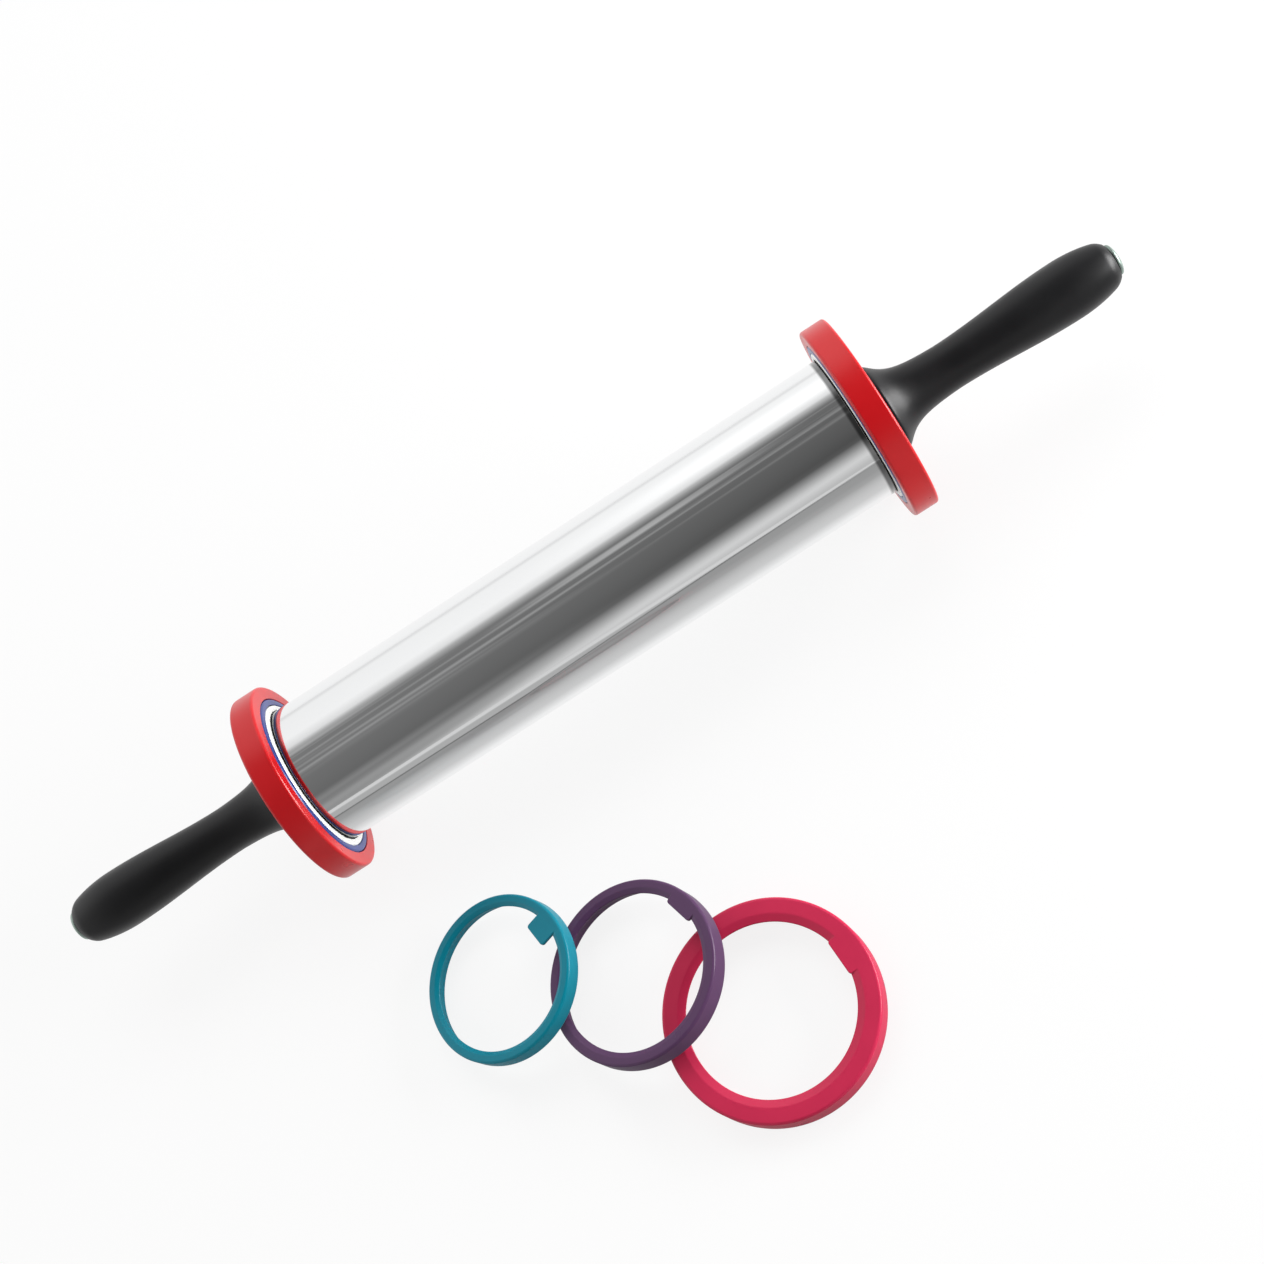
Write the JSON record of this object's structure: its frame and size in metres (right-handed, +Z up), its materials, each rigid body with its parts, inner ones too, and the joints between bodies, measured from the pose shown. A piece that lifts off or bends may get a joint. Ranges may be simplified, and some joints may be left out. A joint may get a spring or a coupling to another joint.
{
  "type": "rolling pin",
  "caption": "Steel rolling pin with turning handles on ball bearings, push-on thickness rings at both ends and spare rings lying in front.",
  "frame": {"origin": "middle of the whole set's footprint, on the surface that it stands on", "axes": "+X along the pin, towards the right handle; +Z up; the spare rings lie on the -Y side of the pin"},
  "size_m": [0.4888, 0.253, 0.0836],
  "materials": {
    "barrel_steel": "mirror-polished stainless steel",
    "bearing_steel": "ground steel",
    "spring_steel": "blackened spring steel",
    "cap_metal": "satin steel",
    "black_nylon": "satin moulded nylon",
    "soft_grip": "soft-touch",
    "ring_white": "satin moulded plastic",
    "ring_blue": "satin moulded plastic",
    "ring_red": "satin moulded plastic",
    "spare_teal": "satin moulded plastic",
    "spare_purple": "satin moulded plastic",
    "spare_crimson": "satin moulded plastic"
  },
  "bodies": {
    "barrel": {"barrel_tube": "barrel_steel", "end_plug_left": "black_nylon", "end_plug_right": "black_nylon", "bearing_outer_race_left": "bearing_steel", "bearing_outer_race_right": "bearing_steel"},
    "handles": {"axle_rod": "bearing_steel", "axle_clip_left": "spring_steel", "axle_clip_right": "spring_steel", "thrust_washer_left": "bearing_steel", "thrust_washer_right": "bearing_steel", "bearing_inner_race_left": "bearing_steel", "bearing_inner_race_right": "bearing_steel", "handle_core_left": "black_nylon", "handle_core_right": "black_nylon", "handle_grip_left": "soft_grip", "handle_grip_right": "soft_grip", "end_cap_nut_left": "cap_metal", "end_cap_nut_right": "cap_metal"},
    "ball_cage_left": {"bearing_cage_left": "spring_steel", "bearing_ball_left_1": "bearing_steel", "bearing_ball_left_2": "bearing_steel", "bearing_ball_left_3": "bearing_steel", "bearing_ball_left_4": "bearing_steel", "bearing_ball_left_5": "bearing_steel", "bearing_ball_left_6": "bearing_steel", "bearing_ball_left_7": "bearing_steel"},
    "ball_cage_right": {"bearing_cage_right": "spring_steel", "bearing_ball_right_1": "bearing_steel", "bearing_ball_right_2": "bearing_steel", "bearing_ball_right_3": "bearing_steel", "bearing_ball_right_4": "bearing_steel", "bearing_ball_right_5": "bearing_steel", "bearing_ball_right_6": "bearing_steel", "bearing_ball_right_7": "bearing_steel"},
    "small_ring_left": {"ring_small_left": "ring_white"},
    "medium_ring_left": {"ring_medium_left": "ring_blue"},
    "large_ring_left": {"ring_large_left": "ring_red"},
    "small_ring_right": {"ring_small_right": "ring_white"},
    "medium_ring_right": {"ring_medium_right": "ring_blue"},
    "large_ring_right": {"ring_large_right": "ring_red"},
    "spare_large": {"loose_ring_large": "spare_crimson"},
    "spare_medium": {"loose_ring_medium": "spare_purple"},
    "spare_small": {"loose_ring_small": "spare_teal"}
  },
  "joints": [
    {"name": "handles_spin", "type": "hinge", "parent": "barrel", "child": "handles", "pos_m": [0, 0.08475, 0.0418], "axis": [1, 0, 0], "continuous": true},
    {"name": "ball_cage_left_spin", "type": "hinge", "parent": "barrel", "child": "ball_cage_left", "pos_m": [-0.1255, 0.08475, 0.0418], "axis": [1, 0, 0], "continuous": true},
    {"name": "ball_cage_right_spin", "type": "hinge", "parent": "barrel", "child": "ball_cage_right", "pos_m": [0.1255, 0.08475, 0.0418], "axis": [1, 0, 0], "continuous": true},
    {"name": "small_ring_left_slide", "type": "slide", "parent": "barrel", "child": "small_ring_left", "axis": [-1, 0, 0], "range_m": [0, 0.12]},
    {"name": "medium_ring_left_slide", "type": "slide", "parent": "small_ring_left", "child": "medium_ring_left", "axis": [-1, 0, 0], "range_m": [0, 0.12]},
    {"name": "large_ring_left_slide", "type": "slide", "parent": "medium_ring_left", "child": "large_ring_left", "axis": [-1, 0, 0], "range_m": [0, 0.12]},
    {"name": "small_ring_right_slide", "type": "slide", "parent": "barrel", "child": "small_ring_right", "axis": [1, 0, 0], "range_m": [0, 0.12]},
    {"name": "medium_ring_right_slide", "type": "slide", "parent": "small_ring_right", "child": "medium_ring_right", "axis": [1, 0, 0], "range_m": [0, 0.12]},
    {"name": "large_ring_right_slide", "type": "slide", "parent": "medium_ring_right", "child": "large_ring_right", "axis": [1, 0, 0], "range_m": [0, 0.12]},
    {"name": "spare_large_lift", "type": "slide", "parent": "barrel", "child": "spare_large", "axis": [0, 0, 1], "range_m": [0, 0.1]},
    {"name": "spare_medium_lift", "type": "slide", "parent": "spare_large", "child": "spare_medium", "axis": [0, 0, 1], "range_m": [0, 0.08]},
    {"name": "spare_small_lift", "type": "slide", "parent": "spare_medium", "child": "spare_small", "axis": [0, 0, 1], "range_m": [0, 0.06]}
  ],
  "couplings": [
    {"joint": "ball_cage_left_spin", "follows": "handles_spin", "ratio": 0.36767},
    {"joint": "ball_cage_right_spin", "follows": "handles_spin", "ratio": 0.36767}
  ]
}
